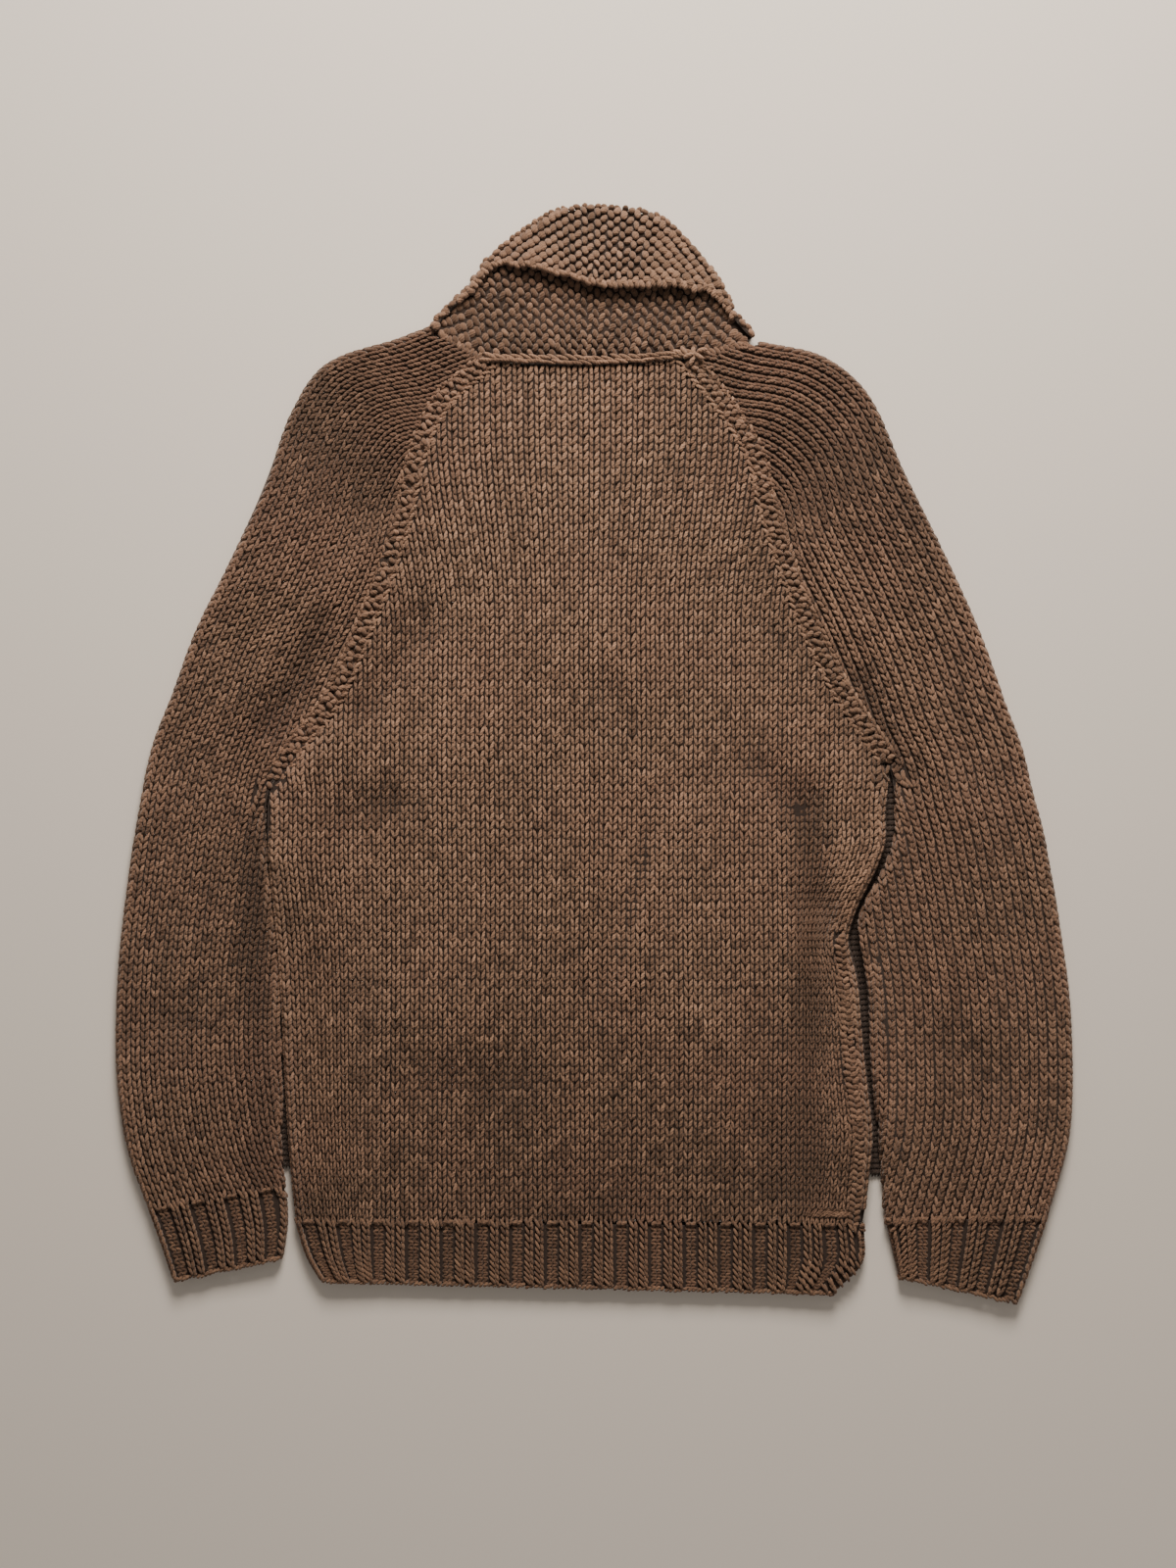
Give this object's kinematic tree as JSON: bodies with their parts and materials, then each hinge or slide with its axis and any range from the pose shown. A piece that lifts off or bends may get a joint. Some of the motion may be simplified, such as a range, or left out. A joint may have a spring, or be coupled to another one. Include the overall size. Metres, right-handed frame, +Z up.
{
  "type": "shawl collar cardigan",
  "caption": "Hand-knitted raglan cardigan with a folded moss stitch shawl collar and ribbed hem and cuffs, laid flat with its back up",
  "frame": {"origin": "on the surface it lies on, below the centre of the whole cardigan's box", "axes": "+X across the chest towards the wearer's right sleeve as seen from behind, +Y from hem to collar, +Z up from the surface, out of the back panel"},
  "size_m": [0.7001, 0.8029, 0.0174],
  "materials": {
    "knit": "matt heathered brown wool, stockinette",
    "rib": "matt heathered brown wool, knit 2 purl 2 rib",
    "collar": "matt heathered brown wool, moss stitch"
  },
  "bodies": {
    "root": {"back": "knit", "back_hem_rib": "rib", "front_left": "knit", "front_right": "knit", "front_hem_rib_left": "rib", "front_hem_rib_right": "rib", "shawl_band_left": "collar", "shawl_band_right": "collar", "sleeve_left": "knit", "sleeve_right": "knit", "cuff_left": "rib", "cuff_right": "rib", "collar": "collar", "neck_seam": "collar"}
  },
  "joints": []
}
